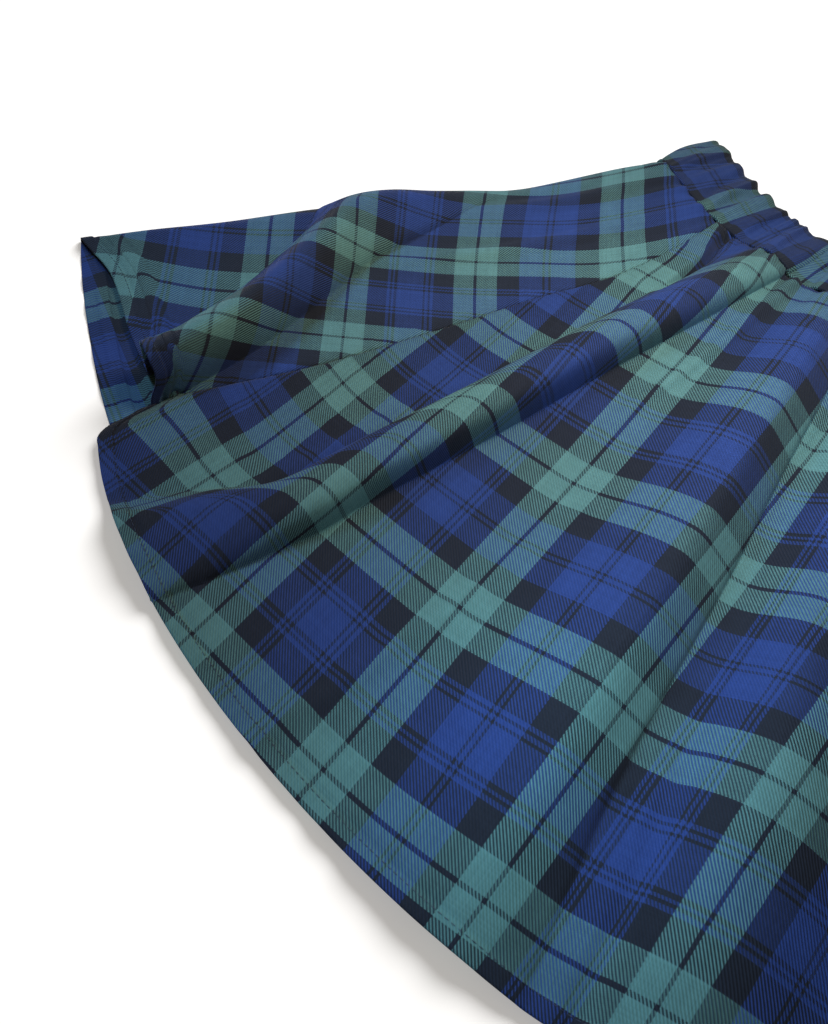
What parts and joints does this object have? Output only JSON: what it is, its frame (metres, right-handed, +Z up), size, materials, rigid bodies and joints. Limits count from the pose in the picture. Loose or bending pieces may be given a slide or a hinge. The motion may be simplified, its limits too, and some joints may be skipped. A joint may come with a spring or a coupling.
{
  "type": "flared skirt lying flat",
  "caption": "Short flared tartan skirt of joined gores with a ruched elastic waistband, lying flat on its back, its front rising in soft folds.",
  "frame": {"origin": "centre of the skirt's plan box, at the height of the surface it lies on", "axes": "+Z up from the surface to the front of the skirt, +X across the hem towards the right of the view, +Y from the hem to the waistband"},
  "size_m": [0.7348, 0.4457, 0.0405],
  "materials": {
    "tartan": "matte twill tartan in blue, green and black",
    "tartan_band": "matte ruched tartan"
  },
  "bodies": {
    "root": {"front_panel": "tartan", "back_left_panel": "tartan", "back_right_panel": "tartan", "waistband": "tartan_band"}
  },
  "joints": []
}
